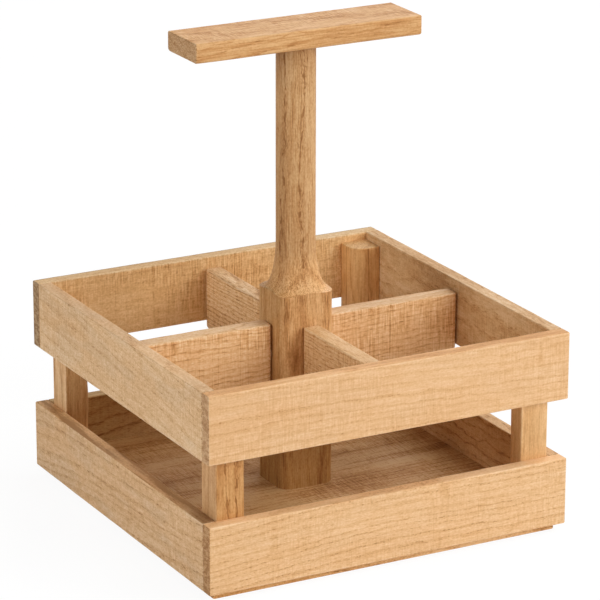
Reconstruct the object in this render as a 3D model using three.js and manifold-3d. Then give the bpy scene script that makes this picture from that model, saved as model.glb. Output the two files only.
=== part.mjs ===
// Oak cutlery caddy: two tiers of boards on four corner posts, a base panel, four dividers
// that meet at a centre post, and a handle bar on top of that post.
// Millimetres, +Z up, +X along the front boards, origin on the ground below the centre post.

import * as THREE from "three";
import { RoundedBoxGeometry } from "three/addons/geometries/RoundedBoxGeometry.js";
import { mergeVertices } from "three/addons/utils/BufferGeometryUtils.js";
import Module from "manifold-3d";

// Crate boards
const crateSide = 220;
const boardThickness = 8;
const boardHeight = 38.5;
const tierGap = 34.5;
const boardArris = 0.75;

// Base panel: a lip under the boards and a raised field inside them
const lipThickness = 4;
const lipInset = 4.5;
const lipArris = 0.5;
const fieldHeight = 10;
const fieldGap = 0.25;

// Corner posts, square with one round corner that faces into the crate. One of them reaches
// almost to the rim, and the other three end lower.
const cornerPostSide = 16.75;
const cornerPostRound = 8.5;
const cornerPostArris = 0.75;
const cornerPostEndArris = 0.5;
const cornerPostDrop = 14;
const tallPostDrop = 4.5;
const tallPost = "back_right";

// Centre post: a square foot with round corners, a cove and a turned shaft
const footSide = 33.5;
const footRound = 7.25;
const footRise = 10.75;
const shoulderRise = 0.5;
const coveDepth = 7.5;
const coveHeight = 28;
const shaftRadius = 11;

// Handle bar
const barClearance = 150;
const barLength = 138;
const barWidth = 34;
const barThickness = 11;
const barArris = 1;

// Dividers
const dividerThickness = 10.5;
const dividerHeight = 36;
const dividerDrop = 6.5;
const dividerArris = 1.25;
const dividerEndRound = 4;
const dividerLowerRound = 6;
const dividerUpperRound = 2.5;

// Dowels: one up the shaft into the bar, and one at each end of each divider
const dowelGap = 0.3;
const dowelChamfer = 0.6;
const handleDowelRadius = 5;
const handleDowelInShaft = 30;
const handleDowelInBar = 6.5;
const postDowelRadius = 3;
const postDowelInPost = 9;
const postDowelInDivider = 11;
const boardDowelRadius = 2.5;
const boardDowelInBoard = 5;
const boardDowelInDivider = 11;

// Wood screws up through the base panel into the posts
const screwGap = 0.3;
const screwHeadSink = 0.6;
const screwHeadEdge = 0.4;
const screwRecessShare = 0.55;
const cornerScrew = { headRadius: 3.5, shankRadius: 1.75, length: 32 };
const centreScrew = { headRadius: 4.75, shankRadius: 2.5, length: 50 };
const screwTipLength = 5;

// Fineness of the round stretches
const arrisSteps = 2;
const cornerSteps = 6;
const shaftSteps = 48;
const coveSteps = 12;
const dowelSteps = 20;

// Levels and half widths that follow from the sizes above
const crateHalf = crateSide / 2;
const innerHalf = crateHalf - boardThickness;
const boardCentre = crateHalf - boardThickness / 2;
const floorLevel = lipThickness + fieldHeight;
const lowerTierLevel = lipThickness;
const upperTierLevel = lowerTierLevel + boardHeight + tierGap;
const rimLevel = upperTierLevel + boardHeight;
const dividerTop = rimLevel - dividerDrop;
const dividerMiddle = dividerTop - dividerHeight / 2;
const barLevel = rimLevel + barClearance;
const footHalf = footSide / 2;
const dividerLength = innerHalf - footHalf;
const cornerPostCentre = innerHalf - cornerPostSide / 2;

const wasm = await Module();
wasm.setup();

// A three.js geometry as a manifold-3d solid
function toSolid(geometry) {
  const bare = geometry.clone();
  bare.deleteAttribute("normal");
  bare.deleteAttribute("uv");
  const welded = mergeVertices(bare, 1e-4);
  return new wasm.Manifold(
    new wasm.Mesh({
      numProp: 3,
      vertProperties: welded.attributes.position.array,
      triVerts: Uint32Array.from(welded.index.array),
    }),
  );
}

// A manifold-3d solid as a three.js geometry
function toGeometry(solid) {
  const mesh = solid.getMesh();
  const geometry = new THREE.BufferGeometry();
  geometry.setAttribute("position", new THREE.BufferAttribute(mesh.vertProperties, 3));
  geometry.setIndex(new THREE.BufferAttribute(mesh.triVerts, 1));
  const faceted = geometry.toNonIndexed();
  faceted.computeVertexNormals();
  return faceted;
}

function cut(geometry, ...tools) {
  const solid = tools.reduce((rest, tool) => rest.subtract(toSolid(tool)), toSolid(geometry));
  return toGeometry(solid);
}

function common(first, second) {
  return toGeometry(toSolid(first).intersect(toSolid(second)));
}

// A rectangle round the origin with a radius for each corner, in the order
// right top, left top, left bottom, right bottom
function roundedRectangle(width, height, radii) {
  const x = width / 2;
  const y = height / 2;
  const [rightTop, leftTop, leftBottom, rightBottom] = radii;
  const quarter = Math.PI / 2;
  const shape = new THREE.Shape();
  shape.absarc(x - rightTop, y - rightTop, rightTop, 0, quarter);
  shape.absarc(-x + leftTop, y - leftTop, leftTop, quarter, 2 * quarter);
  shape.absarc(-x + leftBottom, -y + leftBottom, leftBottom, 2 * quarter, 3 * quarter);
  shape.absarc(x - rightBottom, -y + rightBottom, rightBottom, 3 * quarter, 4 * quarter);
  return shape;
}

// An upright prism from the ground plane up, its top and bottom arrises rounded
function prism(shape, height, arris) {
  const geometry = new THREE.ExtrudeGeometry(shape, {
    depth: height - 2 * arris,
    curveSegments: cornerSteps,
    bevelEnabled: arris > 0,
    bevelThickness: arris,
    bevelSize: arris,
    bevelOffset: -arris,
    bevelSegments: arrisSteps,
  });
  return geometry.translate(0, 0, arris);
}

// A solid of revolution about Z from [radius, height] points that run up from axis to axis
function turned(points, steps) {
  const profile = points.map(([radius, height]) => new THREE.Vector2(radius, height));
  return new THREE.LatheGeometry(profile, steps).rotateX(Math.PI / 2);
}

function plainCylinder(radius, height) {
  return turned([[0, 0], [radius, 0], [radius, height], [0, height]], dowelSteps);
}

// Lays a Z-aligned geometry along +X
function alongX(geometry) {
  return geometry.rotateY(Math.PI / 2);
}

const oak = {
  board: 0xd8ab78,
  base: 0xb98a58,
  cornerPost: 0xcf9c66,
  centrePost: 0xc99762,
  bar: 0xd6a670,
  divider: 0xcd9d6a,
};
const caddy = new THREE.Group();

function add(parent, name, geometry, color, roughness, metalness, place, turn) {
  const material = new THREE.MeshStandardMaterial({ color, roughness, metalness });
  const mesh = new THREE.Mesh(geometry, material);
  mesh.name = name;
  mesh.position.set(...place);
  mesh.rotation.z = turn;
  parent.add(mesh);
}

function addOak(name, geometry, color, place, turn = 0) {
  add(caddy, name, geometry, color, 0.75, 0, place, turn);
}

// Screws: a countersunk head with a cross recess, a plain shank and a pointed end
function screwGeometry({ headRadius, shankRadius, length }) {
  const coneTop = screwHeadEdge + headRadius - shankRadius;
  const body = turned(
    [
      [0, 0],
      [headRadius, 0],
      [headRadius, screwHeadEdge],
      [shankRadius, coneTop],
      [shankRadius, length - screwTipLength],
      [0, length],
    ],
    dowelSteps,
  );
  const slotLength = 2 * headRadius * screwRecessShare;
  const slotWidth = slotLength / 4;
  const slotDepth = slotLength / 2;
  const slot = new THREE.BoxGeometry(slotLength, slotWidth, 2 * slotDepth);
  const crossSlot = slot.clone().rotateZ(Math.PI / 2);
  return cut(body, slot, crossSlot);
}

// The hole that a screw leaves in the base panel, countersunk from below
function screwHole({ headRadius, shankRadius }) {
  const headHole = headRadius + screwGap;
  const shankHole = shankRadius + screwGap;
  const coneFoot = screwHeadSink + screwHeadEdge;
  const below = -1;
  const above = floorLevel + 1;
  return turned(
    [
      [0, below],
      [headHole, below],
      [headHole, coneFoot],
      [shankHole, coneFoot + headHole - shankHole],
      [shankHole, above],
      [0, above],
    ],
    dowelSteps,
  );
}

// The bore that a screw takes in a post standing on the base panel, its height from the post's end
function screwBore({ shankRadius, length }) {
  const depth = screwHeadSink + length - floorLevel + screwGap;
  return plainCylinder(shankRadius + screwGap, depth + 1).translate(0, 0, -1);
}

// Base panel
function makeBasePanel() {
  const lipSide = crateSide - 2 * lipInset;
  const fieldSide = 2 * (innerHalf - fieldGap);
  const lip = new RoundedBoxGeometry(lipSide, lipSide, lipThickness, arrisSteps, lipArris);
  lip.translate(0, 0, lipThickness / 2);
  const overlap = lipThickness / 2;
  const field = new THREE.BoxGeometry(fieldSide, fieldSide, fieldHeight + overlap);
  field.translate(0, 0, floorLevel - (fieldHeight + overlap) / 2);
  const panel = toGeometry(toSolid(lip).add(toSolid(field)));
  const holes = [screwHole(centreScrew)];
  for (const x of [-cornerPostCentre, cornerPostCentre]) {
    for (const y of [-cornerPostCentre, cornerPostCentre]) {
      holes.push(screwHole(cornerScrew).translate(x, y, 0));
    }
  }
  addOak("base_panel", cut(panel, ...holes), oak.base, [0, 0, 0]);
}

// Boards
function boardGeometry(length) {
  return new RoundedBoxGeometry(length, boardThickness, boardHeight, arrisSteps, boardArris);
}

// A board of the upper tier has a blind bore at its middle for the divider's dowel,
// with its inner face towards -Y
function boredBoardGeometry(length, boreAlong) {
  const bore = plainCylinder(boardDowelRadius + dowelGap, boardDowelInBoard + dowelGap + 1);
  bore.rotateX(-Math.PI / 2);
  bore.translate(boreAlong, -boardThickness / 2 - 1, dividerMiddle - upperTierLevel - boardHeight / 2);
  return cut(boardGeometry(length), bore);
}

// The lower tier: the front board covers the side boards' ends, which cover the back board's
function makeLowerTier() {
  const middle = lowerTierLevel + boardHeight / 2;
  const sideLength = crateSide - boardThickness;
  const sideShift = boardThickness / 2;
  const quarter = Math.PI / 2;
  const front = boardGeometry(crateSide);
  addOak("lower_front_board", front, oak.board, [0, -boardCentre, middle]);
  const back = boardGeometry(2 * innerHalf);
  addOak("lower_back_board", back, oak.board, [0, boardCentre, middle]);
  const left = boardGeometry(sideLength);
  addOak("lower_left_board", left, oak.board, [-boardCentre, sideShift, middle], quarter);
  const right = boardGeometry(sideLength);
  addOak("lower_right_board", right, oak.board, [boardCentre, sideShift, middle], quarter);
}

// The upper tier: the front and back boards cover the side boards' ends
function makeUpperTier() {
  const middle = upperTierLevel + boardHeight / 2;
  const quarter = Math.PI / 2;
  const front = boredBoardGeometry(crateSide, 0);
  addOak("upper_front_board", front, oak.board, [0, -boardCentre, middle], 2 * quarter);
  const back = boredBoardGeometry(crateSide, 0);
  addOak("upper_back_board", back, oak.board, [0, boardCentre, middle]);
  const left = boredBoardGeometry(2 * innerHalf, 0);
  addOak("upper_left_board", left, oak.board, [-boardCentre, 0, middle], quarter);
  const right = boredBoardGeometry(2 * innerHalf, 0);
  addOak("upper_right_board", right, oak.board, [boardCentre, 0, middle], -quarter);
}

// Corner posts and their screws, made for the back right corner and turned about the crate's axis
function makeCornerPosts() {
  const corners = [
    ["back_right", 0],
    ["back_left", 1],
    ["front_left", 2],
    ["front_right", 3],
  ];
  const radii = [cornerPostArris, cornerPostArris, cornerPostRound, cornerPostArris];
  for (const [corner, quarters] of corners) {
    const turn = (quarters * Math.PI) / 2;
    const place = new THREE.Vector3(cornerPostCentre, cornerPostCentre, 0);
    place.applyAxisAngle(new THREE.Vector3(0, 0, 1), turn);
    const x = Math.round(place.x * 1e6) / 1e6;
    const y = Math.round(place.y * 1e6) / 1e6;
    const drop = corner === tallPost ? tallPostDrop : cornerPostDrop;
    const height = rimLevel - drop - floorLevel;
    const section = roundedRectangle(cornerPostSide, cornerPostSide, radii);
    const post = cut(prism(section, height, cornerPostEndArris), screwBore(cornerScrew));
    addOak("corner_post_" + corner, post, oak.cornerPost, [x, y, floorLevel], turn);
    addSteel("corner_screw_" + corner, screwGeometry(cornerScrew), [x, y, screwHeadSink]);
  }
}

function addSteel(name, geometry, place) {
  add(caddy, name, geometry, 0xb9bcc0, 0.35, 1, place, 0);
}

// Centre post: the square stock cut by what the lathe leaves
function makeCentrePost() {
  const height = barLevel - floorLevel;
  const radii = [footRound, footRound, footRound, footRound];
  const stock = prism(roundedRectangle(footSide, footSide, radii), height, 0);
  const shoulderLevel = rimLevel + footRise - floorLevel;
  const coveLevel = shoulderLevel + shoulderRise;
  const cornerReach = Math.SQRT2 * (footHalf - footRound) + footRound;
  const profile = [
    [0, -1],
    [cornerReach + 1, -1],
    [cornerReach + 1, shoulderLevel],
    [cornerReach, shoulderLevel],
  ];
  for (let step = 0; step <= coveSteps; step += 1) {
    const angle = (step / coveSteps) * (Math.PI / 2);
    const radius = shaftRadius + coveDepth * (1 - Math.sin(angle));
    profile.push([radius, coveLevel + coveHeight * (1 - Math.cos(angle))]);
  }
  profile.push([shaftRadius, height + 1]);
  profile.push([0, height + 1]);
  const body = common(stock, turned(profile, shaftSteps));
  const tools = [screwBore(centreScrew)];
  const handleBore = plainCylinder(handleDowelRadius + dowelGap, handleDowelInShaft + dowelGap + 1);
  tools.push(handleBore.translate(0, 0, height - handleDowelInShaft - dowelGap));
  for (let quarters = 0; quarters < 4; quarters += 1) {
    const bore = plainCylinder(postDowelRadius + dowelGap, postDowelInPost + dowelGap + 1);
    alongX(bore).translate(footHalf - postDowelInPost - dowelGap, 0, dividerMiddle - floorLevel);
    tools.push(bore.rotateZ((quarters * Math.PI) / 2));
  }
  addOak("centre_post", cut(body, ...tools), oak.centrePost, [0, 0, floorLevel]);
  addSteel("centre_screw", screwGeometry(centreScrew), [0, 0, screwHeadSink]);
}

// Handle bar with a blind bore below for the dowel that stands in the shaft
function makeHandle() {
  const bar = new RoundedBoxGeometry(barLength, barWidth, barThickness, arrisSteps, barArris);
  const bore = plainCylinder(handleDowelRadius + dowelGap, handleDowelInBar + dowelGap + 1);
  bore.translate(0, 0, -barThickness / 2 - 1);
  addOak("handle_bar", cut(bar, bore), oak.bar, [0, 0, barLevel + barThickness / 2]);
  const length = handleDowelInShaft + handleDowelInBar;
  const foot = barLevel - handleDowelInShaft;
  addOak("handle_dowel", dowelGeometry(handleDowelRadius, length), oak.divider, [0, 0, foot]);
}

// A dowel that stands on the ground plane, both ends chamfered
function dowelGeometry(radius, length) {
  return turned(
    [
      [0, 0],
      [radius - dowelChamfer, 0],
      [radius, dowelChamfer],
      [radius, length - dowelChamfer],
      [radius - dowelChamfer, length],
      [0, length],
    ],
    dowelSteps,
  );
}

// A divider along +X from the post to the board, its middle at the origin
function dividerGeometry() {
  const sideRadii = [dividerUpperRound, dividerUpperRound, dividerLowerRound, dividerLowerRound];
  const side = roundedRectangle(dividerLength, dividerHeight, sideRadii);
  const seenFromSide = prism(side, dividerThickness, dividerArris);
  seenFromSide.translate(0, 0, -dividerThickness / 2).rotateX(Math.PI / 2);
  const endRadii = [dividerEndRound, dividerEndRound, dividerEndRound, dividerEndRound];
  const plan = roundedRectangle(dividerLength, dividerThickness, endRadii);
  const seenFromAbove = prism(plan, dividerHeight + 2, 0).translate(0, 0, -dividerHeight / 2 - 1);
  const postBore = plainCylinder(postDowelRadius + dowelGap, postDowelInDivider + dowelGap + 1);
  alongX(postBore).translate(-dividerLength / 2 - 1, 0, 0);
  const boardBore = plainCylinder(boardDowelRadius + dowelGap, boardDowelInDivider + dowelGap + 1);
  alongX(boardBore).translate(dividerLength / 2 - boardDowelInDivider - dowelGap, 0, 0);
  return cut(common(seenFromSide, seenFromAbove), postBore, boardBore);
}

// Dividers and their dowels, each set made along +X and turned about the post
function makeDividers() {
  const sides = [
    ["right", 0],
    ["back", 1],
    ["left", 2],
    ["front", 3],
  ];
  const postDowelLength = postDowelInPost + postDowelInDivider;
  const boardDowelLength = boardDowelInBoard + boardDowelInDivider;
  for (const [side, quarters] of sides) {
    const turn = (quarters * Math.PI) / 2;
    const arm = new THREE.Group();
    arm.rotation.z = turn;
    caddy.add(arm);
    const middle = [footHalf + dividerLength / 2, 0, dividerMiddle];
    add(arm, "divider_" + side, dividerGeometry(), oak.divider, 0.75, 0, middle, 0);
    const postDowel = alongX(dowelGeometry(postDowelRadius, postDowelLength));
    const postDowelPlace = [footHalf - postDowelInPost, 0, dividerMiddle];
    add(arm, "divider_post_dowel_" + side, postDowel, oak.divider, 0.75, 0, postDowelPlace, 0);
    const boardDowel = alongX(dowelGeometry(boardDowelRadius, boardDowelLength));
    const boardDowelPlace = [innerHalf - boardDowelInDivider, 0, dividerMiddle];
    add(arm, "divider_board_dowel_" + side, boardDowel, oak.divider, 0.75, 0, boardDowelPlace, 0);
  }
}

makeBasePanel();
makeLowerTier();
makeUpperTier();
makeCornerPosts();
makeCentrePost();
makeHandle();
makeDividers();

export default caddy;
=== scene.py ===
# Oak cutlery caddy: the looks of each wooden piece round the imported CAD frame, a white studio
# and the camera of the photograph. Metres, +Z up, +X along the front boards.
import math
import random

import bmesh
import bpy
from mathutils import Matrix, Vector


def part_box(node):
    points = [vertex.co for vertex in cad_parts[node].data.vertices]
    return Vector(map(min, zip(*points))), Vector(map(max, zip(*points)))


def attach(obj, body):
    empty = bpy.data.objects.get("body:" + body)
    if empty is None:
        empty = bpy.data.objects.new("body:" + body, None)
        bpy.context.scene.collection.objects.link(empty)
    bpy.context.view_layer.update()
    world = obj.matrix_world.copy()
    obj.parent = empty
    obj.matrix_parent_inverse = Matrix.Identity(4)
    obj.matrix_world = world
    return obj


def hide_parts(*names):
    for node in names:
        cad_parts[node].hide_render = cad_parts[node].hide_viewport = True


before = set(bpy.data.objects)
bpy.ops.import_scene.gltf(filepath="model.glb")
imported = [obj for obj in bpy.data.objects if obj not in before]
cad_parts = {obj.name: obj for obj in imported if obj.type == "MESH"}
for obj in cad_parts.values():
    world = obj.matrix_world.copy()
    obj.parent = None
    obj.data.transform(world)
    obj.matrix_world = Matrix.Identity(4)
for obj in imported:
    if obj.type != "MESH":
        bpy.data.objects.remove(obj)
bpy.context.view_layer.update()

MM = 0.001
QUARTER = math.pi / 2

# Rounded edges of the boards, posts, bar, dividers and base panel
BOARD_ARRIS = 0.75 * MM
POST_ARRIS = 0.75 * MM
POST_ROUND = 8.5 * MM
POST_END_ARRIS = 0.5 * MM
BAR_UPPER_ARRIS = 0.9 * MM
BAR_LOWER_ARRIS = 1.75 * MM
BAR_END_ARRIS = 0.9 * MM
BAR_END_LOWER_ROUND = 0.9 * MM
DIVIDER_ARRIS = 1.25 * MM
DIVIDER_END_ROUND = 4.0 * MM
DIVIDER_LOWER_ROUND = 6.0 * MM
DIVIDER_UPPER_ROUND = 2.5 * MM
LIP_THICKNESS = 4.0 * MM
LIP_ARRIS = 0.5 * MM
LIP_CORNER = 1.0 * MM
FIELD_SIDE = 203.5 * MM

# How unevenly the long edges are rounded, as a share of their radius, and the waves of that per metre
BOARD_UNEVENNESS = 0.3
POST_UNEVENNESS = 0.15
BAR_UNEVENNESS = 0.35
DIVIDER_UNEVENNESS = 0.3
WAVE_RATES = (40, 260)
WAVE_COUNT = 4

# Centre post
FOOT_ROUND = 7.25 * MM
SHAFT_RADIUS = 11.0 * MM
SHOULDER_LEVEL = 126.25 * MM
SHOULDER_RISE = 0.5 * MM
COVE_DEPTH = 7.5 * MM
COVE_HEIGHT = 28.0 * MM

# Dowels: the radius, and how deep they go into the first and the second piece
BORE_GAP = 0.3 * MM
HANDLE_DOWEL = (5.0 * MM, 30.0 * MM, 6.5 * MM)
POST_DOWEL = (3.0 * MM, 9.0 * MM, 11.0 * MM)
BOARD_DOWEL = (2.5 * MM, 5.0 * MM, 11.0 * MM)

# Screws: how deep the head is sunk and how high its edge is, and then for each kind the radius of
# the head and of the shank, and the length
SCREW_SINK = 0.6 * MM
SCREW_EDGE = 0.4 * MM
CORNER_SCREW = (3.5 * MM, 1.75 * MM, 32.0 * MM)
CENTRE_SCREW = (4.75 * MM, 2.5 * MM, 50.0 * MM)

# Places of the base panel's field, of the corner posts' middles and of the dividers' middles
FLOOR_LEVEL = 14.0 * MM
CORNER_POST_CENTRE = 93.625 * MM
DIVIDER_MIDDLE = 91.0 * MM

# Fineness of the meshes
ARC_STEPS = 5
COVE_STEPS = 24
LIP_STEPS = 3
LATHE_SIDES = 96
BORE_SIDES = 32
SECTION_PITCH = 5.0 * MM
WELD_DISTANCE = 1e-7
SHARP_ANGLE = math.radians(38)
# A round takes at most this share of the narrower side, and a long edge keeps at least this radius
MOST_ROUND = 0.499
LEAST_RADIUS = 0.02 * MM
# How far a cutter reaches past the surface that it opens
OVERRUN = 1.0 * MM


# Meshes

def ring(low_y, high_y, low_z, high_z, radii):
    """Points anticlockwise round a rectangle in the YZ plane, its corners rounded.
    The radii start at the corner of high Y and high Z."""
    corners = [
        (high_y, high_z, 1, 1),
        (low_y, high_z, -1, 1),
        (low_y, low_z, -1, -1),
        (high_y, low_z, 1, -1),
    ]
    most = MOST_ROUND * min(high_y - low_y, high_z - low_z)
    points = []
    for quarter, (y, z, side_y, side_z) in enumerate(corners):
        radius = min(radii[quarter], most)
        for step in range(ARC_STEPS + 1):
            angle = (quarter + step / ARC_STEPS) * QUARTER
            points.append(
                (
                    y - side_y * radius + radius * math.cos(angle),
                    z - side_z * radius + radius * math.sin(angle),
                )
            )
    return points


def mesh_from_rings(name, rings):
    """A closed mesh from rings of (x, y, z) points with the same count, capped at both ends."""
    work = bmesh.new()
    rows = [[work.verts.new(point) for point in points] for points in rings]
    count = len(rows[0])
    for first, second in zip(rows, rows[1:]):
        for index in range(count):
            after = (index + 1) % count
            work.faces.new((first[index], first[after], second[after], second[index]))
    work.faces.new(rows[0][::-1])
    work.faces.new(rows[-1])
    bmesh.ops.remove_doubles(work, verts=work.verts, dist=WELD_DISTANCE)
    bmesh.ops.recalc_face_normals(work, faces=work.faces)
    mesh = bpy.data.meshes.new(name)
    work.to_mesh(mesh)
    work.free()
    return mesh


def inset_at(distance, radius):
    """How far a rounded end of that radius stands in from the flat, at a distance from the end."""
    if radius <= 0 or distance >= radius:
        return 0.0
    return radius - math.sqrt(max(0.0, radius * radius - (radius - distance) ** 2))


def waves(seed, amount):
    """A smooth random function of a length in metres, within plus or minus amount."""
    chance = random.Random(seed)
    terms = [(chance.uniform(*WAVE_RATES), chance.uniform(0, 2 * math.pi)) for _ in range(WAVE_COUNT)]
    return lambda x: amount * sum(math.sin(rate * x + start) for rate, start in terms) / WAVE_COUNT


def stations(length, end_radius):
    """Places along a piece from end to end, close together where its ends are rounded."""
    half = length / 2
    steps = 2 * ARC_STEPS
    near = [end_radius * (1 - math.cos(step / steps * QUARTER)) for step in range(steps + 1)]
    count = max(2, round((length - 2 * end_radius) / SECTION_PITCH))
    span = length - 2 * end_radius
    middle = [end_radius + span * step / count for step in range(1, count)]
    return [-half + x for x in near + middle] + [half - x for x in near[::-1]]


def plank(name, size, radii, end_rounds, seed, unevenness):
    """A piece along X. Radii are those of its four long edges, and end_rounds those of the ends
    towards the Y faces, the low Z face and the high Z face."""
    length, width, height = size
    round_y, round_low, round_high = end_rounds
    wobble = [waves(seed * 10 + corner, unevenness) for corner in range(4)]
    rings = []
    for x in stations(length, max(end_rounds)):
        distance = length / 2 - abs(x)
        inset_y = inset_at(distance, round_y)
        inset_low = inset_at(distance, round_low)
        inset_high = inset_at(distance, round_high)
        least = min(inset_y, inset_low, inset_high)
        corner_radii = [
            max(LEAST_RADIUS, radius * (1 + wobble[corner](x)) - least)
            for corner, radius in enumerate(radii)
        ]
        points = ring(
            -width / 2 + inset_y,
            width / 2 - inset_y,
            -height / 2 + inset_low,
            height / 2 - inset_high,
            corner_radii,
        )
        rings.append([(x, y, z) for y, z in points])
    return mesh_from_rings(name, rings)


def turned(name, profile, sides):
    """A solid turned about X from (x, radius) points that start and end off the axis."""
    rings = []
    for x, radius in profile:
        angles = [2 * math.pi * side / sides for side in range(sides)]
        rings.append([(x, radius * math.cos(a), radius * math.sin(a)) for a in angles])
    return mesh_from_rings(name, rings)


def added(name, data):
    """A new object in the scene."""
    item = bpy.data.objects.new(name, data)
    bpy.context.scene.collection.objects.link(item)
    return item


def combined(mesh, tools, operation="DIFFERENCE"):
    """The mesh cut by, or in common with, the tools, each a (mesh, matrix) in the same frame."""
    body = added("work", mesh)
    cutters = []
    for tool_mesh, matrix in tools:
        cutter = added("cutter", tool_mesh)
        cutter.matrix_world = matrix
        change = body.modifiers.new("cut", "BOOLEAN")
        change.operation = operation
        change.solver = "EXACT"
        change.object = cutter
        cutters.append(cutter)
    bpy.context.view_layer.update()
    graph = bpy.context.evaluated_depsgraph_get()
    made = bpy.data.meshes.new_from_object(body.evaluated_get(graph))
    for item in [body, *cutters]:
        bpy.data.objects.remove(item)
    return made


def bore(radius, start, end):
    """A round hole along X between two places, wider than what goes into it."""
    wide = radius + BORE_GAP
    return turned("bore", [(start, wide), (end, wide)], BORE_SIDES)


def bore_in_start(length, radius, depth):
    """The hole for what goes so deep into the low X end of a piece of that length."""
    return bore(radius, -length / 2 - OVERRUN, -length / 2 + depth + BORE_GAP)


def bore_in_end(length, radius, depth):
    """The hole for what goes so deep into the high X end of a piece of that length."""
    return bore(radius, length / 2 - depth - BORE_GAP, length / 2 + OVERRUN)


def bore_in_face(radius, depth):
    """The hole for what goes so deep along +X into a face at X = 0."""
    return bore(radius, -OVERRUN, depth + BORE_GAP)


# Frames of the pieces: local X is the grain
ALONG_X = Matrix.Identity(4)
ALONG_Y = Matrix.Rotation(QUARTER, 4, "Z")
UPRIGHT = Matrix.Rotation(-QUARTER, 4, "Y")


def give_material(mesh, material):
    """Gives a mesh that material and no other."""
    mesh.materials.clear()
    mesh.materials.append(material)


def placed(name, node, mesh, turn, material):
    """Puts a mesh made round the middle of a CAD node in its place, and lets it stand for the node."""
    low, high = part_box(node)
    piece = added(name, mesh)
    piece.matrix_world = Matrix.Translation((low + high) / 2) @ turn
    give_material(mesh, material)
    mesh.polygons.foreach_set("use_smooth", [True] * len(mesh.polygons))
    mesh.set_sharp_from_angle(angle=SHARP_ANGLE)
    weighted = piece.modifiers.new("even shading", "WEIGHTED_NORMAL")
    weighted.keep_sharp = True
    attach(piece, "root")
    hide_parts(node)


def local_size(node, turn):
    """The size of a CAD node along the axes of the piece that stands for it."""
    low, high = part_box(node)
    size = turn.to_3x3().inverted() @ (high - low)
    return tuple(abs(value) for value in size)


def middle_level(node):
    """How high the middle of a CAD node stands."""
    low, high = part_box(node)
    return (low.z + high.z) / 2


# Materials

def colour(text):
    """An sRGB colour as six hex digits, made linear."""
    parts = [int(text[place : place + 2], 16) / 255 for place in (0, 2, 4)]
    linear = [c / 12.92 if c <= 0.04045 else ((c + 0.055) / 1.055) ** 2.4 for c in parts]
    return (*linear, 1.0)


class Tree:
    """A tree of nodes under short names. Numbers and sockets can be given alike."""

    def __init__(self, tree):
        self.tree = tree

    def put(self, socket, value):
        if isinstance(value, bpy.types.NodeSocket):
            self.tree.links.new(value, socket)
        else:
            socket.default_value = value

    def node(self, kind, inputs, **settings):
        made = self.tree.nodes.new("ShaderNode" + kind)
        for key, value in settings.items():
            setattr(made, key, value)
        for key, value in inputs.items():
            self.put(made.inputs[key], value)
        return made

    def math(self, operation, first, second=0.0, third=0.0):
        made = self.node("Math", {0: first, 1: second, 2: third}, operation=operation)
        return made.outputs[0]

    def vector(self, operation, first, second=(0.0, 0.0, 0.0)):
        made = self.node("VectorMath", {0: first, 1: second}, operation=operation)
        return made.outputs["Value" if operation in ("LENGTH", "DOT_PRODUCT") else "Vector"]

    def parts(self, vector):
        return self.node("SeparateXYZ", {0: vector}).outputs

    def mapped(self, vector, scale, location=(0, 0, 0), rotation=(0, 0, 0)):
        inputs = {"Vector": vector, "Scale": scale, "Location": location, "Rotation": rotation}
        return self.node("Mapping", inputs).outputs["Vector"]

    def noise(self, vector, detail=0.0):
        inputs = {"Vector": vector, "Scale": 1.0, "Detail": detail, "Roughness": 0.5}
        return self.node("TexNoise", inputs)

    def noise_along(self, value):
        inputs = {"W": value, "Scale": 1.0, "Detail": 0.0}
        return self.node("TexNoise", inputs, noise_dimensions="1D").outputs[0]

    def step(self, value, start, end):
        """0 at start and 1 at end, smooth between."""
        inputs = {"Value": value, "From Min": start, "From Max": end}
        made = self.node("MapRange", inputs, interpolation_type="SMOOTHSTEP")
        return made.outputs[0]

    def total(self, terms):
        """The sum of (weight, value) pairs."""
        whole = 0.0
        for weight, value in terms:
            whole = self.math("MULTIPLY_ADD", value, weight, whole)
        return whole

    def ramp(self, value, stops):
        made = self.node("ValToRGB", {"Fac": value})
        elements = made.color_ramp.elements
        while len(elements) < len(stops):
            elements.new(1.0)
        for element, (place, shade) in zip(elements, stops):
            element.position = place
            element.color = shade
        return made.outputs["Color"]

    def mixed(self, amount, first, second, blend="MIX"):
        inputs = {0: amount, 6: first, 7: second}
        return self.node("Mix", inputs, data_type="RGBA", blend_type=blend).outputs[2]

    def seen_directly(self):
        """1 for a ray from the camera or off something shiny, and 0 for light on its way."""
        path = self.node("LightPath", {}).outputs
        return self.math("MAXIMUM", path["Is Camera Ray"], path["Is Glossy Ray"])


class Shader(Tree):
    """A material with a Principled surface."""

    def __init__(self, name):
        self.material = bpy.data.materials.new(name)
        self.material.use_nodes = True
        super().__init__(self.material.node_tree)
        self.surface = next(n for n in self.tree.nodes if n.type == "BSDF_PRINCIPLED")

    def into(self, name, value):
        self.put(self.surface.inputs[name], value)

    def own_place(self):
        """The place in the piece's own frame, in millimetres."""
        place = self.node("TexCoord", {}).outputs["Object"]
        return self.vector("MULTIPLY", place, (1 / MM, 1 / MM, 1 / MM))

    def bump(self, height, strength, distance):
        made = self.node("Bump", {"Strength": strength, "Distance": distance, "Height": height})
        self.into("Normal", made.outputs[0])


# A darker place in oak is also a redder one, the very dark ones less so: the place on the ramp, the
# brightness there, and how each channel follows it
SHADES = [
    (0.0, 1.25, (0.66, 1.12, 1.75)),
    (0.25, 1.0, (0.66, 1.12, 1.75)),
    (0.5, 0.78, (0.68, 1.11, 1.7)),
    (0.75, 0.58, (0.75, 1.09, 1.55)),
    (1.0, 0.4, (0.78, 1.08, 1.45)),
]
PALEST = 0.95


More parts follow.
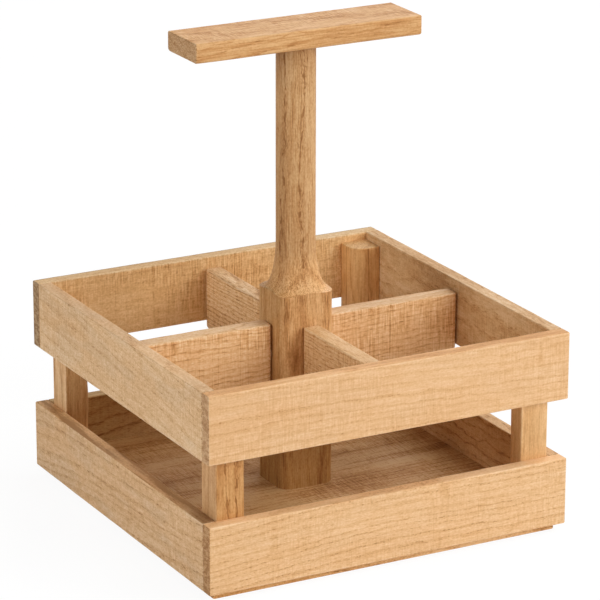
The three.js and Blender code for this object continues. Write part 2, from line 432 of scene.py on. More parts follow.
def tones(text, redness):
    """Ramp stops from a pale to a dark place of a wood whose mean colour is given."""
    mean = colour(text)
    stops = []
    for place, brightness, powers in SHADES:
        powers = [1.0 + (power - 1.0) * redness for power in powers]
        shade = [min(PALEST, c * brightness**power) for c, power in zip(mean, powers)]
        stops.append((place, (*shade, 1.0)))
    return stops


# How a sawn face looks when nothing else is said. Lengths are in millimetres and angles in radians.
SAWN = dict(
    # Growth rings: where the pith lies in the piece's YZ plane, how the grain runs out of the piece,
    # the width of a year, how far rings wander and ripple, and how dark and how thin they are
    pith=(70, 60),
    tilt=(0.0, 0.0),
    spacing=3.6,
    bend=18.0,
    ripple=2.2,
    rings=0.12,
    thin=0.7,
    # Vessels: how dark, how long, how many beside each other, and how far bound to the dark wood
    pores=0.3,
    dash=4.0,
    close=1.7,
    bound=0.9,
    # Dark veins, the directions from the middle in which lines of cracks lie, and the radius from
    # the middle within which they show
    veins=0.0,
    cracks=(),
    heart=12.5,
    # Fibres and the wool of a sawn face
    fibre=0.35,
    grit=0.35,
    # Saw marks and single scores, how far they lean and how long they are, and the way that the
    # sawn faces look
    saw=0.12,
    kerfs=0.1,
    lean=0.03,
    mark_length=10.0,
    sawn=(0, 1, 0),
    # Broad and small patches, the upper face, the ends, the strokes on these, and the paler edges
    patch=0.3,
    mottle=0.3,
    upper=0.0,
    ends=0.25,
    torn=1.0,
    edges=0.1,
    # Where the colour changes, some of it painted shade and sheen: a direction, where the change starts
    # and is full, and its factors
    zones=(),
    # How grey the clouds are and how red the dark places, and how the surface shines and stands out
    grey=0.08,
    redness=1.0,
    roughness=0.72,
    gloss=0.35,
    relief=0.4,
)

# Directions in a piece's own frame
ACROSS = (0, 1, 1)
TO_START = (-1, 0, 0)
TO_END = (1, 0, 0)
UP = (0, 0, 1)

# Fields of noise: how often each changes in a millimetre along and across the grain, and its detail
FIELDS = {
    "wander": ((0.006, 0.02, 0.02), 0.0),
    "ripple": ((0.07, 0.16, 0.16), 1.0),
    "fibre": ((0.045, 1.1, 1.1), 2.0),
    "grit": ((0.75, 0.9, 0.9), 2.0),
    "patches": ((0.012, 0.06, 0.06), 1.0),
    "mottle": ((0.14, 0.32, 0.32), 1.0),
    "veins": ((0.005, 0.1, 0.1), 0.0),
    "breaks in veins": ((0.06, 0.6, 0.6), 1.0),
    "fine vessels": ((0.45, 3.2, 3.2), 0.0),
    "cut vessels": ((1.1, 1.9, 1.9), 0.0),
    "wear": ((0.02, 0.2, 0.2), 1.0),
    "sawn stretches": ((0.02, 0.045, 0.045), 0.0),
    "clouds": ((0.03, 0.09, 0.09), 1.0),
}
# The levels of a field at which what it shows starts and is full
LEVELS = {
    "breaks in veins": (0.38, 0.6),
    "fine vessels": (0.56, 0.72),
    "cut vessels": (0.54, 0.7),
    "wear": (0.36, 0.62),
    "sawn stretches": (0.36, 0.6),
    "clouds": (0.45, 0.65),
}
# Shares of the normal: along the grain where wood is cut across or is an end, and in another
# direction where a face looks that way
CUT_ACROSS = (0.08, 0.4)
END_GRAIN = (0.45, 0.8)
FACING = (0.6, 0.9)
# Years: how often their width changes along the radius and by how much, where in a year the next
# dark part sets in, how far apart their noise lies, its levels, and the weakest year's strength
WIDTH_RATE = 0.06
WIDTH_REACH = 1.5
NEXT_SETS_IN = 0.88
YEARS_APART = 3.71
YEAR_LEVELS = (0.3, 0.7)
WEAKEST_YEAR = 0.35
# Vessels: the levels of the dashes, and how dark a dot is beside a dash
DASH_LEVELS = (0.55, 0.7)
DOT_SHARE = 0.9
# Saw marks and scores: how often they change along the piece, how wide a score is in its noise, how
# dark it is beside a kerf, and how strong both are outside the sawn stretches
MARK_RATE = 1.5
SCORE_RATE = 0.4
SCORE_WIDTH = (0.08, 0.02)
SCORE_SHARE = 0.5
WEAKEST_MARKS = 0.25
# Kerfs, which cross a whole face: their field, their width in its noise, and where they show
KERF_FIELD = (0.11, 0.002, 0.002)
KERF_WIDTH = (0.018, 0.0)
KERF_LEVELS = (-0.12, 0.08)
# Veins: the widths of the line and of the soft band in the noise, and how dark the band is
VEIN_LINE = (0.04, 0.01)
VEIN_BAND = (0.2, 0.0)
VEIN_BAND_SHARE = 0.3
# Noise along a crack. Its bends: how often in a millimetre, where the noise starts, and how far to
# each side. Where it opens wider, where it shows and where fibres are torn beside it: how often,
# where the noise starts, and the levels.
CRACK_BENDS = [(0.012, 3.3, 9.0), (0.09, 9.1, 2.4)]
CRACK_WIDER = (0.16, 5.5, 0.4, 0.7)
CRACK_SHOWS = (0.11, 7.7, 0.4, 0.48)
CRACK_TORN = (0.03, 2.2, 0.3, 0.6)
CRACKS_APART = 31.7
# Half a crack's least and greatest width, and its soft edge as a share of that. The width of the torn
# fibres, and how dark these are without and with fine vessels. Where the crack starts and ends.
CRACK_WIDTHS = (0.25, 0.95)
CRACK_EDGE = (1.0, 0.4)
TORN_WIDTH = (3.2, 0.5)
TORN_SHADES = (0.25, 1.05)
CRACK_START = (0.0, 3.0)
HEART_EDGE = 2.0
# How dark an upper face is where it is least and most worn
WORN_SHADES = (0.5, 1.4)
# Strokes of the saw across the ends: the field's scale and turn, its levels, and the shade without one
STROKE_FIELD = (0.5, 0.25, 0.5)
STROKE_TURN = (0.35, 0, 0)
STROKE_LEVELS = (-0.08, 0.1)
UNSTRUCK = 0.4
# Paler edges: how far their limit wanders, and where they start and are full
EDGE_WANDER = 1.6
EDGE_WIDTH = (1.4, 0.2)
# Factors of the clouds' colour and of the ends', and how fast ends grow grey as they grow dark
CLOUD_TINT = (0.88, 0.99, 1.18)
END_TINT = (0.8, 0.98, 1.32)
END_GREYNESS = 1.25
# The shade of wood with no feature on it, the height of its relief, and how far out in the noise a
# piece may lie
PLAIN_SHADE = 0.2
WOOD_RELIEF = 0.35 * MM
FIELD_REACH = 900


class Oak(Shader):
    """Oak as it grew, in the piece's own frame with the grain along X."""

    def __init__(self, name, seed, size, look):
        super().__init__(name)
        self.size = size
        self.look = look
        self.chance = random.Random(seed)
        self.offset = [self.chance.uniform(-FIELD_REACH, FIELD_REACH) for _ in range(3)]
        self.place = self.own_place()
        self.normal = self.node("TexCoord", {}).outputs["Normal"]
        outward = self.math("ABSOLUTE", self.parts(self.normal)[0])
        # The ends, and wherever the surface cuts across the grain or stays whole
        self.end = self.step(outward, *END_GRAIN)
        self.cut = self.step(outward, *CUT_ACROSS)
        self.whole = self.math("SUBTRACT", 1.0, self.cut)
        self.mottle = self.swing(*FIELDS["mottle"])

    def field(self, scale, detail=0.0, rotation=(0, 0, 0)):
        """Noise from 0 to 1, its own for each piece."""
        return self.noise(self.mapped(self.place, scale, self.offset, rotation), detail)

    def swing(self, scale, detail=0.0, rotation=(0, 0, 0)):
        """Noise about zero."""
        return self.math("SUBTRACT", self.field(scale, detail, rotation).outputs[0], 0.5)

    def feature(self, name):
        """What a field shows between its levels."""
        return self.step(self.field(*FIELDS[name]).outputs[0], *LEVELS[name])

    def along(self, rate, start):
        """Noise that only changes along the grain."""
        return self.noise_along(self.math("MULTIPLY_ADD", self.parts(self.place)[0], rate, start))

    def stretches(self, rate, start, low, high, apart):
        """Stretches along the grain, other ones for each start."""
        return self.step(self.along(rate, start + apart), low, high)

    def between(self, value, low, high):
        """Low where the value is 0, and high where it is 1."""
        return self.math("MULTIPLY_ADD", value, high - low, low)

    def shift(self, name, reach):
        """How far a field moves the rings across the grain."""
        away = self.vector("SUBTRACT", self.field(*FIELDS[name]).outputs["Color"], (0.5, 0.5, 0.5))
        return self.vector("MULTIPLY", away, (0, reach, reach))

    def growth_rings(self):
        """The dark part of each year, round a pith beside the piece. No two years are as dark."""
        look = self.look
        pith_y, pith_z = look["pith"]
        tilt_y, tilt_z = look["tilt"]
        bent = self.mapped(self.place, (1, 1, 1), (0, -pith_y, -pith_z), (0, tilt_y, tilt_z))
        bent = self.vector("ADD", bent, self.shift("wander", look["bend"]))
        bent = self.vector("ADD", bent, self.shift("ripple", look["ripple"]))
        radius = self.vector("LENGTH", self.vector("MULTIPLY", bent, ACROSS))
        turns = self.math("DIVIDE", radius, look["spacing"])
        uneven = self.noise_along(self.math("MULTIPLY", radius, WIDTH_RATE))
        turns = self.math("ADD", turns, self.math("MULTIPLY", uneven, WIDTH_REACH))
        phase = self.math("FRACT", turns)
        fading = self.step(phase, 1.0 - look["thin"], 0.0)
        starting = self.step(phase, NEXT_SETS_IN, 1.0)
        early = self.math("MAXIMUM", fading, starting)
        year = self.noise_along(self.math("MULTIPLY", self.math("FLOOR", turns), YEARS_APART))
        strength = self.between(self.step(year, *YEAR_LEVELS), WEAKEST_YEAR, 1.0)
        return self.math("MULTIPLY", early, strength)

    def vessels(self, rings):
        """Dashes along the grain, and dots where the surface cuts across it."""
        look = self.look
        across = look["close"]
        dashes = self.step(self.field((1 / look["dash"], across, across)).outputs[0], *DASH_LEVELS)
        share = self.between(rings, 1.0 - look["bound"], 1.0)
        dashes = self.math("MULTIPLY", self.math("MULTIPLY", dashes, share), self.whole)
        dots = self.math("MULTIPLY", self.feature("cut vessels"), self.cut)
        return self.math("MULTIPLY_ADD", dots, DOT_SHARE, dashes)

    def saw_marks(self):
        """Close marks across the sawn faces and single lines among them, stronger in stretches."""
        look = self.look
        lean = (0.0, *[self.chance.uniform(-look["lean"], look["lean"]) for _ in range(2)])
        strength = self.between(self.feature("sawn stretches"), WEAKEST_MARKS, 1.0)
        across = 1 / look["mark_length"]
        marks = self.math("MULTIPLY", self.swing((MARK_RATE, across, across), 0.0, lean), strength)
        kerf = self.step(self.math("ABSOLUTE", self.swing(KERF_FIELD, 0.0, lean)), *KERF_WIDTH)
        kerf = self.math("MULTIPLY", kerf, self.step(self.mottle, *KERF_LEVELS))
        score = self.math("ABSOLUTE", self.swing((SCORE_RATE, across, across), 0.0, lean))
        score = self.math("MULTIPLY", self.step(score, *SCORE_WIDTH), strength)
        lines = self.math("MULTIPLY_ADD", score, SCORE_SHARE, kerf)
        facing = self.vector("DOT_PRODUCT", self.vector("ABSOLUTE", self.normal), look["sawn"])
        sawn = self.step(facing, *FACING)
        return self.math("MULTIPLY", marks, sawn), self.math("MULTIPLY", lines, sawn)

    def veins(self):
        """Dark veins along the grain, each a soft band with a broken line in it."""
        away = self.math("ABSOLUTE", self.swing(*FIELDS["veins"]))
        line = self.math("MULTIPLY", self.step(away, *VEIN_LINE), self.feature("breaks in veins"))
        vein = self.math("MULTIPLY_ADD", self.step(away, *VEIN_BAND), VEIN_BAND_SHARE, line)
        return self.math("MULTIPLY", vein, self.whole)

    def cracks(self, fine):
        """Broken cracks along the grain, on lines that leave the piece's middle in some directions."""
        cracks = 0.0
        torn_shade = self.between(fine, *TORN_SHADES)
        for index, (y, z) in enumerate(self.look["cracks"]):
            apart = CRACKS_APART * index
            away = self.vector("DOT_PRODUCT", self.place, (0, y, z))
            aside = self.vector("DOT_PRODUCT", self.place, (0, z, -y))
            for rate, start, reach in CRACK_BENDS:
                bend = self.math("SUBTRACT", self.along(rate, start + apart), 0.5)
                aside = self.math("MULTIPLY_ADD", bend, reach, aside)
            aside = self.math("ABSOLUTE", aside)
            # The open line, and a band of torn fibres round it
            width = self.between(self.stretches(*CRACK_WIDER, apart), *CRACK_WIDTHS)
            line = self.step(self.math("DIVIDE", aside, width), *CRACK_EDGE)
            line = self.math("MULTIPLY", line, self.stretches(*CRACK_SHOWS, apart))
            band = self.step(aside, *TORN_WIDTH)
            band = self.math("MULTIPLY", band, self.stretches(*CRACK_TORN, apart))
            line = self.math("MULTIPLY_ADD", band, torn_shade, line)
            cracks = self.math("MULTIPLY_ADD", line, self.step(away, *CRACK_START), cracks)
        middle = self.vector("LENGTH", self.vector("MULTIPLY", self.place, ACROSS))
        heart = self.look["heart"]
        shown = self.math("MULTIPLY", self.whole, self.step(middle, heart + HEART_EDGE, heart))
        return self.math("MULTIPLY", cracks, shown)

    def worn_top(self):
        """The upper faces, more in some places than in others."""
        up = self.step(self.parts(self.normal)[2], *FACING)
        return self.math("MULTIPLY", up, self.between(self.feature("wear"), *WORN_SHADES))

    def torn_ends(self):
        """The ends, with strokes of the saw across."""
        stroke = self.step(self.swing(STROKE_FIELD, 1.0, STROKE_TURN), *STROKE_LEVELS)
        shade = self.math("MULTIPLY_ADD", stroke, self.look["torn"], UNSTRUCK)
        return self.math("MULTIPLY", self.end, shade)

    def pale_edges(self):
        """The edges, from the second smallest of the distances to the faces."""
        half = tuple(0.5 / MM * value for value in self.size)
        inside = self.parts(self.vector("SUBTRACT", half, self.vector("ABSOLUTE", self.place)))
        low = self.math("MINIMUM", inside[0], inside[1])
        high = self.math("MAXIMUM", inside[0], inside[1])
        second = self.math("MAXIMUM", low, self.math("MINIMUM", high, inside[2]))
        return self.step(self.math("MULTIPLY_ADD", self.mottle, EDGE_WANDER, second), *EDGE_WIDTH)

    def tinted(self, wood, amount, factors):
        """The colour with its channels multiplied, as far as the amount says."""
        changed = self.mixed(1.0, wood, (*factors, 1.0), "MULTIPLY")
        return self.mixed(amount, wood, changed)

    def wood(self, shade, tone):
        """The colour of each shade: greyer in clouds and on the ends, and changed by the zones."""
        look = self.look
        wood = self.ramp(shade, tones(tone, look["redness"]))
        wood = self.tinted(wood, self.math("MULTIPLY", self.feature("clouds"), look["grey"]), CLOUD_TINT)
        greyness = min(1.0, END_GREYNESS * look["ends"])
        wood = self.tinted(wood, self.math("MULTIPLY", self.end, greyness), END_TINT)
        for direction, start, stop, factors in look["zones"]:
            amount = self.step(self.vector("DOT_PRODUCT", self.place, direction), start, stop)
            wood = self.tinted(wood, amount, factors)
        return wood


def oak(name, seed, size, tone, **pattern):
    """The oak of one piece, from its size, its mean colour and what differs from SAWN."""
    look = {**SAWN, **pattern}
    s = Oak(name, seed, size, look)
    rings = s.growth_rings()
    vessels = s.vessels(rings)
    fine = s.feature("fine vessels")
    fibre = s.swing(*FIELDS["fibre"])
    grit = s.swing(*FIELDS["grit"])
    marks, lines = s.saw_marks()
    shade = s.total(
        [
            (look["rings"], rings),
            (look["pores"], vessels),
            (look["pores"] * 0.4, fine),
            (look["fibre"], fibre),
            (look["grit"], grit),
            (look["patch"], s.swing(*FIELDS["patches"])),
            (look["mottle"], s.mottle),
            (look["saw"] * 3.0, marks),
            (look["kerfs"], lines),
            (look["veins"], s.veins()),
            (0.6, s.cracks(fine)),
            (look["upper"], s.worn_top()),
            (look["ends"], s.torn_ends()),
            (-look["edges"], s.pale_edges()),
        ]
    )
    shade = s.math("ADD", shade, PLAIN_SHADE)
    s.into("Base Color", s.wood(shade, tone))
    s.into("Roughness", s.math("MULTIPLY_ADD", shade, 0.2, look["roughness"] - 0.05))
    s.into("Specular IOR Level", look["gloss"])
    relief = s.total(
        [
            (-0.35, vessels),
            (-0.1, fine),
            (0.5, fibre),
            (1.0, grit),
            (-6.0 * look["saw"], marks),
            (-0.3, lines),
        ]
    )
    s.bump(relief, look["relief"], WOOD_RELIEF)
    return s.material


def plain_wood(name, seed):
    """The close, pale beech of the dowels."""
    s = Shader(name)
    place = s.own_place()
    cloud = s.noise(s.mapped(place, (0.3, 0.3, 0.3), (seed, seed, seed)), 3.0).outputs[0]
    fleck = s.step(s.noise(s.mapped(place, (1.4, 1.4, 1.4)), 1.0).outputs[0], 0.62, 0.72)
    shade = s.total([(0.7, cloud), (0.3, fleck)])
    s.into("Base Color", s.ramp(shade, [(0.2, colour("EBCBA2")), (1.0, colour("CFA275"))]))
    s.into("Roughness", s.math("MULTIPLY_ADD", cloud, 0.2, 0.55))
    s.bump(shade, 0.2, 0.1 * MM)
    return s.material


def steel():
    """Zinc-plated steel with fine turning marks and a little dulling."""
    s = Shader("screw steel")
    place = s.own_place()
    cloud = s.noise(s.mapped(place, (0.6, 0.6, 0.6)), 3.0).outputs[0]
    scratch = s.noise(s.mapped(place, (9.0, 2.0, 2.0)), 1.0).outputs[0]
    s.into("Base Color", s.ramp(cloud, [(0.25, colour("A9ACAF")), (0.8, colour("CDD0D2"))]))
    s.into("Metallic", 1.0)
    s.into("Roughness", s.total([(0.25, cloud), (0.12, scratch), (0.18, 1.0)]))
    s.bump(scratch, 0.15, 0.05 * MM)
    return s.material


# Boards: direction, pattern seed, mean colour and pattern. A front or back board's half length is
# 110, so that the zones at 109 are its left end, and a board's half height is 19.25.
CALM = dict(dash=1.5, redness=1.2, patch=0.15, mottle=0.15)
BOARDS = {
    "upper_front_board": (
        ALONG_X, 3, "E7B885",
        dict(
            CALM, pith=(15, 90), tilt=(-0.02, 0.01), spacing=4.6, thin=0.65, ripple=3.4, rings=0.18,
            pores=0.3, close=1.9, saw=0.08, ends=0.6, torn=0.5, upper=0.26,
        ),
    ),
    "upper_back_board": (
        ALONG_X, 4, "E1B57C",
        dict(
            pith=(-60, 40), spacing=4.2, saw=0.3, kerfs=0.25, rings=0.12, patch=0.4, ends=1.1, torn=0.4,
            grit=0.8, upper=0.12,
            zones=[
                # Painted cool sheen on the top
                (UP, 18.0, 19.0, (0.92, 1.0, 1.18)),
                # Painted shade on the upper edge on the outside
                ((0, 0.707, 0.707), 14.6, 16.0, (0.68, 0.7, 0.74)),
                (TO_START, 109.0, 109.9, (0.87, 0.85, 0.9)),
            ],
        ),
    ),
    "upper_left_board": (
        ALONG_Y, 5, "D9B183",
        dict(
            pith=(25, -90), tilt=(0.1, 0.0), spacing=5.75, thin=0.6, rings=0.16, pores=0.5, grey=0.3,
            grit=0.7, mottle=0.25, zones=[(UP, 18.4, 19.2, (0.95, 0.91, 0.86))],
        ),
    ),
    "upper_right_board": (
        ALONG_Y, 6, "CEA675",
        dict(
            pith=(-60, 30), spacing=4.5, ripple=5.0, rings=0.22, pores=0.5, patch=0.8, mottle=0.55,
            # Painted cool sheen on the top, paler and bluer
            grit=0.6, zones=[(UP, 18.4, 19.2, (1.05, 1.05, 1.11))],
        ),
    ),
    "lower_front_board": (
        ALONG_X, 7, "EABD8A",
        dict(
            CALM, pith=(10, 90), tilt=(0.04, 0.0), spacing=4.0, thin=0.6, ripple=2.6, rings=0.2,
            pores=0.42, saw=0.06, ends=0.62, torn=0.6, upper=0.02,
            zones=[(TO_START, 109.0, 109.9, (0.91, 0.83, 0.72))],
        ),
    ),
    "lower_back_board": (
        ALONG_X, 8, "C9A06D",
        dict(
            pith=(60, 60), pores=0.9, rings=0.5, ripple=3.5,
            # Painted shade towards the left end, inside the crate
            zones=[(TO_START, 20.0, 80.0, (0.87, 0.88, 0.77))],
        ),
    ),
    "lower_left_board": (
        ALONG_Y, 9, "DAB183",
        dict(
            pith=(20, 90), tilt=(-0.08, 0.0), spacing=5.75, thin=0.55, rings=0.24, pores=0.55, upper=0.6,
            grey=0.3, grit=0.55,
            # The top only, darker towards the front and paler towards the back
            zones=[
                ((-0.004, 0, 1), 19.25, 19.6, (0.79, 0.79, 0.74)),
                ((0.004, 0, 1), 19.2, 19.6, (1.26, 1.36, 1.42)),
            ],
        ),
    ),
    "lower_right_board": (
        ALONG_Y, 10, "D0A776",
        dict(pith=(-40, 70), spacing=4.0, ripple=5.0, rings=0.5, pores=0.9, patch=0.6),
    ),
}
# Boards whose inner face is the one at low Y in their own frame
INNER_AT_LOW_Y = ("upper_back_board", "upper_left_board")


def make_board(node):
    turn, seed, tone, pattern = BOARDS[node]
    size = local_size(node, turn)
    mesh = plank(node, size, [BOARD_ARRIS] * 4, [BOARD_ARRIS] * 3, seed, BOARD_UNEVENNESS)
    if node.startswith("upper"):
        # The dowel's bore opens on the face that looks into the crate
        radius, in_board, _ = BOARD_DOWEL
        inner = -1 if node in INNER_AT_LOW_Y else 1
        aim = Matrix.Rotation(-inner * QUARTER, 4, "Z")
        spot = Matrix.Translation((0, inner * size[1] / 2, DIVIDER_MIDDLE - middle_level(node)))
        mesh = combined(mesh, [(bore_in_face(radius, in_board), spot @ aim)])
    material = oak(node + " oak", seed, size, tone, **pattern)
    placed("oak_" + node, node, mesh, turn, material)


# Corner posts, the round corner looking into the crate: the sides, mean colour and pattern
POST_FIRST_SEED = 20
PLANED = dict(
    saw=0.0, kerfs=0.0, grit=0.4, ends=0.0, spacing=4.5, roughness=0.62, dash=9.0, rings=0.25, pores=0.5,
    fibre=0.9,
)
CORNER_POSTS = {
    "back_right": (
        (1, 1), "D6A468",
        dict(PLANED, pith=(40, 50), veins=0.6, pores=0.3, ends=0.2, torn=0.2),
    ),
    "back_left": (
        (-1, 1), "D9AF7E",
        # Painted shade on all faces but the left one
        dict(PLANED, pith=(40, 50), veins=0.25, zones=[(UP, 8.2, 7.4, (0.9, 0.84, 0.7))]),
    ),
    "front_left": (
        (-1, -1), "CC965A",
        dict(
            PLANED, pith=(40, 50), veins=0.3, patch=0.7, cracks=[(-1.0, 0.05), (-0.9, -0.43)],
            # The left face
            zones=[(UP, 7.4, 8.2, (0.96, 1.06, 1.35))],
        ),
    ),
    "front_right": (
        (1, -1), "E4B67E",
        dict(PLANED, pith=(60, 70), rings=0.12, pores=0.25, patch=1.1, fibre=0.6),
    ),
}
# The place in ring()'s radii of the corner on each side in Y and Z
CORNER_PLACES = {(1, 1): 0, (-1, 1): 1, (-1, -1): 2, (1, -1): 3}


def make_corner_post(corner, seed):
    (side_x, side_y), tone, pattern = CORNER_POSTS[corner]
    node = "corner_post_" + corner
    size = local_size(node, UPRIGHT)
    radii = [POST_ARRIS] * 4
    # Local Y is world Y and local Z is world -X
    radii[CORNER_PLACES[(-side_y, side_x)]] = POST_ROUND
    mesh = plank(node, size, radii, [POST_END_ARRIS] * 3, seed, POST_UNEVENNESS)
    _, shank, length = CORNER_SCREW
    hole = bore_in_start(size[0], shank, SCREW_SINK + length - FLOOR_LEVEL)
    mesh = combined(mesh, [(hole, Matrix.Identity(4))])
    material = oak(node + " oak", seed, size, tone, **pattern)
    placed("oak_" + node, node, mesh, UPRIGHT, material)


CENTRE_POST_SEED = 31
TURNED_LOOK = dict(
    PLANED, pith=(26, 8), spacing=6.5, grit=0.6, rings=0.35, close=2.4, bound=0.5, fibre=1.0, patch=0.5,
    edges=0.0, cracks=[(-0.4, 0.92), (-0.99, 0.14)],
    # Here local X is up and local Z is to the left
    zones=[
        # Painted shade on the left, and paler from the cove down
        ((0, 0.474, 0.88), 3.0, 8.0, (0.83, 0.8, 0.74)),
        (TO_END, 14.0, -4.0, (1.2, 1.21, 1.2)),
        # Painted shade low in the crate, and a painted shadow under the bar
        (TO_END, -60.0, -90.0, (0.6, 0.55, 0.43)),
        (TO_END, 110.0, 125.0, (0.84, 0.81, 0.76)),
        # Painted shade on the foot's left face and on its lower part
        (UP, 15.4, 16.4, (0.88, 0.88, 0.85)),
        (TO_START, 70.0, 95.0, (0.96, 0.93, 0.82)),
    ],
)


def lathe_profile(half_length, half_side, middle):
    """What the lathe leaves of the stock: the foot's corners, the shoulder, the cove and the shaft."""
    shoulder = SHOULDER_LEVEL - middle
    cove_foot = shoulder + SHOULDER_RISE
    reach = math.sqrt(2) * (half_side - FOOT_ROUND) + FOOT_ROUND
    profile = [
        (-half_length - OVERRUN, reach + OVERRUN),
        (shoulder, reach + OVERRUN),
        (shoulder, reach),
    ]
    for step in range(COVE_STEPS + 1):
        angle = step / COVE_STEPS * QUARTER
        level = cove_foot + COVE_HEIGHT * (1 - math.cos(angle))
        profile.append((level, SHAFT_RADIUS + COVE_DEPTH * (1 - math.sin(angle))))
    profile.append((half_length + OVERRUN, SHAFT_RADIUS))
    return profile


def make_centre_post():
    """Square stock with round corners, cut by what the lathe leaves."""
    node = "centre_post"
    size = local_size(node, UPRIGHT)
    middle = middle_level(node)
    stock = plank(node, size, [FOOT_ROUND] * 4, [0.0] * 3, CENTRE_POST_SEED, 0.0)
    lathe = turned("lathe", lathe_profile(size[0] / 2, size[1] / 2, middle), LATHE_SIDES)
    mesh = combined(stock, [(lathe, Matrix.Identity(4))], "INTERSECT")
    radius, in_shaft, _ = HANDLE_DOWEL
    holes = [(bore_in_end(size[0], radius, in_shaft), Matrix.Identity(4))]
    _, shank, length = CENTRE_SCREW
    screw_hole = bore_in_start(size[0], shank, SCREW_SINK + length - FLOOR_LEVEL)
    holes.append((screw_hole, Matrix.Identity(4)))
    radius, in_post, _ = POST_DOWEL
    for quarters in range(4):
        aim = Matrix.Rotation(quarters * QUARTER, 4, "X") @ Matrix.Rotation(QUARTER, 4, "Z")
        spot = Matrix.Translation((DIVIDER_MIDDLE - middle, 0, 0))
        holes.append((bore_in_end(size[1], radius, in_post), spot @ aim))
    mesh = combined(mesh, holes)
    material = oak("centre post oak", CENTRE_POST_SEED, size, "C99B67", **TURNED_LOOK)
    placed("oak_centre_post", node, mesh, UPRIGHT, material)


BAR_SEED = 41
SANDED_LOOK = dict(
    pith=(30, -80), tilt=(0.07, 0.05), spacing=5.5, thin=0.75, ripple=5.0, rings=0.33, pores=0.5,
    dash=6.0, fibre=1.2, saw=0.26, kerfs=0.2, mark_length=6.0, sawn=(0, 0, 1), grit=0.4, patch=0.35,
    redness=1.15, ends=0.5, torn=0.15, roughness=0.66, gloss=0.3,
    # The left end
    zones=[(TO_START, 68.0, 68.9, (0.98, 1.04, 1.17))],
)


def make_handle_bar():
    node = "handle_bar"
    size = local_size(node, ALONG_X)
    radii = [BAR_UPPER_ARRIS, BAR_UPPER_ARRIS, BAR_LOWER_ARRIS, BAR_LOWER_ARRIS]
    end_rounds = [BAR_END_ARRIS, BAR_END_LOWER_ROUND, BAR_UPPER_ARRIS]
    mesh = plank(node, size, radii, end_rounds, BAR_SEED, BAR_UNEVENNESS)
    radius, _, in_bar = HANDLE_DOWEL
    spot = Matrix.Translation((0, 0, -size[2] / 2)) @ Matrix.Rotation(-QUARTER, 4, "Y")
    mesh = combined(mesh, [(bore_in_face(radius, in_bar), spot)])
    material = oak("handle bar oak", BAR_SEED, size, "D39F66", **SANDED_LOOK)
    placed("oak_handle_bar", node, mesh, ALONG_X, material)


# Dividers, made with the post towards -X and turned about it: quarter turns, mean colour, how dark
# the top is, the factors of the top's colour, which paint a cool sheen, and what differs from
# HATCHED_LOOK
DIVIDER_FIRST_SEED = 50
HATCHED_LOOK = dict(
    pith=(15, 80), spacing=2.9, thin=0.55, ripple=4.0, rings=0.32, pores=0.36, dash=5.0, close=1.9,
    bound=0.6, redness=1.3, saw=0.24, kerfs=0.26, mark_length=12.0, grit=0.5, patch=0.1, mottle=0.1,
    roughness=0.7,
)
DIVIDERS = {
    "right": (0, "EBBC86", 0.1, (0.9, 0.97, 1.12), dict(rings=0.24, mottle=0.05)),
    "back": (
        1, "E3BC8A", 0.2, (0.97, 1.0, 1.1),
        dict(spacing=1.9, ripple=1.5, rings=0.46, pores=0.75, patch=0.4, kerfs=0.4),
    ),
    "left": (2, "EFC28D", 0.04, (0.93, 0.97, 1.06), {}),
    "front": (
        3, "D8AE7C", 0.0, (1.0, 1.0, 1.0),
        dict(spacing=2.2, ripple=2.6, rings=0.26, pores=0.5, kerfs=0.35),
    ),
}
# Where a divider's top, with its painted sheen, starts and is full, above its middle
DIVIDER_TOP = (16.9, 17.7)


def make_divider(side):
    quarters, tone, darker_top, top_sheen_factors, traits = DIVIDERS[side]
    node = "divider_" + side
    seed = DIVIDER_FIRST_SEED + quarters
    turn = Matrix.Rotation(quarters * QUARTER, 4, "Z")
    size = local_size(node, turn)
    end_rounds = [DIVIDER_END_ROUND, DIVIDER_LOWER_ROUND, DIVIDER_UPPER_ROUND]
    mesh = plank(node, size, [DIVIDER_ARRIS] * 4, end_rounds, seed, DIVIDER_UNEVENNESS)
    post_radius, _, in_divider = POST_DOWEL
    post_hole = bore_in_start(size[0], post_radius, in_divider)
    board_radius, _, in_divider = BOARD_DOWEL
    board_hole = bore_in_end(size[0], board_radius, in_divider)
    mesh = combined(mesh, [(hole, Matrix.Identity(4)) for hole in (post_hole, board_hole)])
    # Painted cool sheen on the top
    zones = [(UP, *DIVIDER_TOP, top_sheen_factors)]
    pattern = dict(HATCHED_LOOK, upper=darker_top, zones=zones, **traits)
    material = oak(node + " oak", seed, size, tone, **pattern)
    placed("oak_" + node, node, mesh, turn, material)


BASE_SEED = 61
FLOOR_LOOK = dict(
    pith=(40, -50), spacing=3.4, saw=0.3, kerfs=0.1, sawn=(0, 0, 1), rings=0.3, pores=0.6, fibre=0.9,
    grit=1.0, patch=1.8,
    # Paler in the lower part, which is the lip, and painted shade to the left
    zones=[(UP, -3.0, -4.5, (1.7, 1.75, 1.9)), (TO_START, 10.0, 60.0, (0.93, 0.87, 0.74))],
)


def countersunk(thickness, head, shank):
    """The hole for a countersunk screw from below through a panel, along X."""
    wide, narrow = head + BORE_GAP, shank + BORE_GAP
    cone = SCREW_SINK + SCREW_EDGE
    profile = [
        (-OVERRUN, wide),
        (cone, wide),
        (cone + wide - narrow, narrow),
        (thickness + OVERRUN, narrow),
    ]
    return turned("screw hole", profile, BORE_SIDES)


